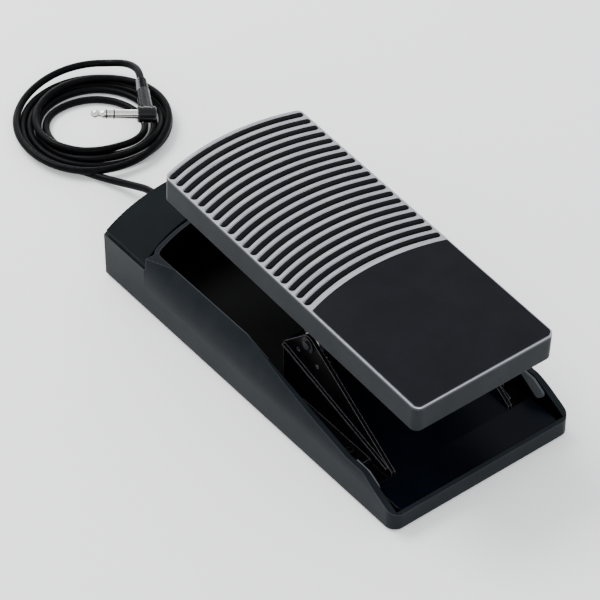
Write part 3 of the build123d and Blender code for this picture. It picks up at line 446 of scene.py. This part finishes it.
def cover_material():
    return moulded("cover", (0.0028, 0.0048, 0.0056), (0.0042, 0.0066, 0.0076), 0.42,
                   grain=0.00005, grain_scale=1700.0, wear_and_highlight=(0.07, 0.078, 0.082),
                   Specular_IOR_Level=0.03)


def treadle_material():
    return moulded("treadle", (0.0125, 0.0148, 0.0168), (0.0165, 0.0192, 0.0216), 0.36,
                   wear_and_highlight=(0.10, 0.105, 0.12), edge_radius=0.0011, Specular_IOR_Level=0.04)


def panel_material():
    made = moulded("panel", (0.0042, 0.0048, 0.0066), (0.0060, 0.0067, 0.0088), 0.34,
                   grain=0.00004, grain_scale=2100.0, wear_and_highlight=(0.04, 0.043, 0.052),
                   Specular_IOR_Level=0.07)
    made.bump(made.cells(1500.0), 0.000015, 0.5)
    return made


def plate_material():
    """Anodised sheet: a grain across the pedal, slot rims lightened (bare metal and painted
    highlight) and sides darkened as painted shade.
    """
    made = Surface("anodised", 0.34, metallic=1.0)
    grain = made.noise(520.0, 4.0, 0.65, made.stretched((0.04, 1.0, 1.0)))
    grained = made.ranged(grain, 0.0, 1.0, 0.3, 0.7)
    body = made.blend(grained, (0.40, 0.41, 0.44), (0.56, 0.57, 0.60))
    cloud = made.noise(11.0, 3.0)
    shaded = made.blend(made.ranged(cloud, 0.0, 0.5, 0.3, 0.7), body, (0.34, 0.35, 0.38))
    # Slot rims and edges lightened: lighter bare metal at the cut edge, together with a painted
    # highlight.
    edged = made.blend(made.ranged(made.edges(0.0005), 0.0, 0.8), shaded, PLATE_EDGE_HIGHLIGHT)
    # Painted shade: faces that do not face up, the sides of the slots and of the sheet, are
    # darkened.
    top = made.ranged(made.facing(TREADLE_UP), 0.0, 1.0, 0.35, 0.75)
    made.colour(made.blend(top, (0.05, 0.052, 0.056), edged))
    made.roughness(made.ranged(grain, 0.27, 0.42, 0.3, 0.7))
    made.bump(grain, 0.000014)
    return made


def mat_material():
    """Black rubber with a painted highlight where it faces partly toward the toe: a light line
    along each rib.

    The same direction is found on every node that uses it, so the plug's relief gets the painted
    highlight too.
    """
    made = soft_rubber("mat", (0.0008, 0.0009, 0.0013), (0.0018, 0.0020, 0.0027), 0.20,
                       Specular_IOR_Level=0.10)
    body = made.colour_now()
    # Painted highlight: surfaces facing partly toward the toe turn pale.
    ahead = made.facing(TREADLE_AHEAD)
    rising = made.ranged(ahead, 0.0, 1.0, 0.25, 0.45)
    falling = made.ranged(ahead, 1.0, 0.0, 0.80, 0.95)
    shoulder_highlight = made.math("MULTIPLY", rising, falling)
    made.colour(made.blend(shoulder_highlight, body, RIB_HIGHLIGHT))
    return made


def painted_steel_material():
    made = Surface("painted_steel", 0.33, Specular_IOR_Level=0.04)
    body = made.blend(made.ranged(made.noise(55.0, 5.0), 0.0, 1.0, 0.35, 0.65),
                      (0.0010, 0.0009, 0.0011), (0.0022, 0.0021, 0.0024))
    # Edges lightened: a painted edge highlight.
    made.colour(made.blend(made.ranged(made.edges(0.0006), 0.0, 0.85), body, (0.20, 0.20, 0.22)))
    made.roughness(made.ranged(made.noise(30.0, 4.0), 0.26, 0.42, 0.3, 0.7))
    made.bump(made.noise(620.0, 3.0, 0.55), 0.00003)
    return made


def cord_material():
    """Extruded jacket: a soft sheen, faint length-wise drawing marks and a little dust."""
    made = Surface("jacket", 0.42, Specular_IOR_Level=0.05)
    dust = made.noise(210.0, 5.0, 0.65)
    made.colour(made.blend(made.ranged(dust, 0.0, 1.0, 0.4, 0.75),
                           (0.0012, 0.0012, 0.0016), (0.0036, 0.0037, 0.0042)))
    made.roughness(made.ranged(made.noise(70.0, 3.0), 0.32, 0.46, 0.3, 0.7))
    made.bump(made.noise(1400.0, 3.0, 0.6), 0.00002)
    return made


def plug_material():
    return moulded("plug_black", (0.0014, 0.0014, 0.0018), (0.0030, 0.0031, 0.0036), 0.20,
                   grain=0.00001, wear_and_highlight=(0.02, 0.02, 0.024), edge_radius=0.0004,
                   Specular_IOR_Level=0.24)


def tongue_material():
    return moulded("tongue", (0.075, 0.082, 0.088), (0.095, 0.104, 0.110), 0.45,
                   wear_and_highlight=(0.10, 0.105, 0.11), Specular_IOR_Level=0.15)


def blackened_steel():
    return metal("blackened_steel", (0.010, 0.010, 0.011), (0.022, 0.022, 0.024), 0.38,
                 (1.0, 1.0, 1.0))


def nylon_material():
    made = Surface("nylon", 0.42)
    made.shader.inputs["Subsurface Weight"].default_value = 0.15
    made.shader.inputs["Subsurface Radius"].default_value = (0.002, 0.0018, 0.0014)
    made.colour(made.blend(made.ranged(made.noise(80.0, 4.0), 0.0, 1.0, 0.35, 0.65),
                           (0.62, 0.60, 0.54), (0.74, 0.72, 0.66)))
    made.bump(made.noise(800.0, 2.0), 0.00002)
    return made


def insulator_material():
    made = Surface("insulator", 0.35)
    made.colour(made.blend(made.noise(300.0, 3.0), (0.010, 0.010, 0.011), (0.020, 0.020, 0.022)))
    made.bump(made.noise(1500.0, 2.0), 0.00001)
    return made


def wire_material():
    """Three insulated wires, told apart by where they run: red, white and green."""
    made = Surface("wire", 0.4)
    split = made.node("ShaderNodeSeparateXYZ")
    made.link(made.place, split.inputs["Vector"])
    first = made.ranged(split.outputs["X"], 0.0, 1.0, 0.0184, 0.0186)
    second = made.ranged(split.outputs["X"], 0.0, 1.0, 0.0206, 0.0208)
    tint = made.blend(first, (0.42, 0.03, 0.025), (0.62, 0.61, 0.57))
    made.colour(made.blend(second, tint, (0.03, 0.26, 0.07)))
    made.bump(made.noise(900.0, 2.0), 0.00001)
    return made


def steel():
    return metal("steel", (0.42, 0.42, 0.44), (0.62, 0.62, 0.65), 0.24, (1.0, 1.0, 1.0))


def nickel():
    return metal("nickel", (0.62, 0.60, 0.57), (0.80, 0.79, 0.76), 0.13, (1.0, 1.0, 1.0), 0.000005)


def bronze():
    return metal("bronze", (0.42, 0.27, 0.12), (0.58, 0.40, 0.20), 0.38, (1.0, 1.0, 1.0))


LOOKS = {
    housing_material: ["base_housing"],
    deck_material: ["heel_deck"],
    cover_material: ["toe_cover"],
    treadle_material: ["treadle_body"],
    panel_material: ["heel_panel"],
    plate_material: ["tread_plate"],
    mat_material: [
        "tread_mat", "toe_pads", "rubber_feet", "stop_sleeves", "cable_gland", "plug_relief",
    ],
    painted_steel_material: ["left_cheek", "right_cheek", "bottom_plate", "gear_sector"],
    plug_material: ["plug_body"],
    tongue_material: ["wall_tongues"],
    blackened_steel: ["cheek_screws", "shaft_clips", "pivot_shaft"],
    nylon_material: ["friction_washers", "pinion_gear", "cable_clamp"],
    insulator_material: ["plug_insulators"],
    wire_material: ["signal_wires"],
    cord_material: ["cord_inner"],
    steel: [
        "plate_screws", "stop_pins", "pot_screws",
        "pot_bracket", "tread_screws", "sector_screws", "pot_shaft", "pot_nut", "pot_body",
        "pot_terminals",
    ],
    nickel: ["plug_sleeve", "plug_ring", "plug_tip"],
    bronze: ["pivot_bushes"],
}


def dress(piece, surface):
    piece.data.materials.clear()
    piece.data.materials.append(surface.material)


for build, names in LOOKS.items():
    surface = build()
    for name in names:
        dress(NODES[name], surface)
    if build is cord_material:
        dress(cable, surface)


# ---- floor and light ----------------------------------------------------------------------
def make_floor():
    mesh = bpy.data.meshes.new("floor")
    shape = bmesh.new()
    bmesh.ops.create_grid(shape, x_segments=1, y_segments=1, size=8.0)
    shape.to_mesh(mesh)
    shape.free()
    floor = bpy.data.objects.new("floor", mesh)
    bpy.context.scene.collection.objects.link(floor)
    surface = Surface("floor", 0.85)
    surface.colour(surface.blend(surface.noise(3.0, 3.0), (0.93, 0.93, 0.93), (0.96, 0.96, 0.96)))
    surface.shader.inputs["Emission Color"].default_value = (1.0, 1.0, 1.0, 1.0)
    surface.shader.inputs["Emission Strength"].default_value = 0.20
    floor.data.materials.append(surface.material)


def make_light(name, at, target, width, height, watts, tint=(1.0, 1.0, 1.0)):
    data = bpy.data.lights.new(name, "AREA")
    data.shape = "RECTANGLE"
    data.size = width
    data.size_y = height
    data.energy = watts
    data.color = tint
    light = bpy.data.objects.new(name, data)
    light.location = at
    light.rotation_euler = (Vector(target) - Vector(at)).to_track_quat("-Z", "Y").to_euler()
    bpy.context.scene.collection.objects.link(light)


def make_world():
    world = bpy.data.worlds.new("studio")
    world.use_nodes = True
    background = world.node_tree.nodes["Background"]
    background.inputs["Color"].default_value = (0.95, 0.97, 1.0, 1.0)
    background.inputs["Strength"].default_value = 1.2
    bpy.context.scene.world = world


make_floor()
make_world()
make_light("key", (-0.35, 1.15, 1.5), (0.0, 0.05, 0.05), 1.1, 0.8, 34.0)
make_light("toe_rim", (0.72, 1.36, 0.40), (0.0, 0.05, 0.08), 1.3, 0.25, 9.0)
make_light("front_fill", (-0.6, -1.4, 0.9), (0.0, 0.0, 0.04), 1.2, 0.8, 9.0)
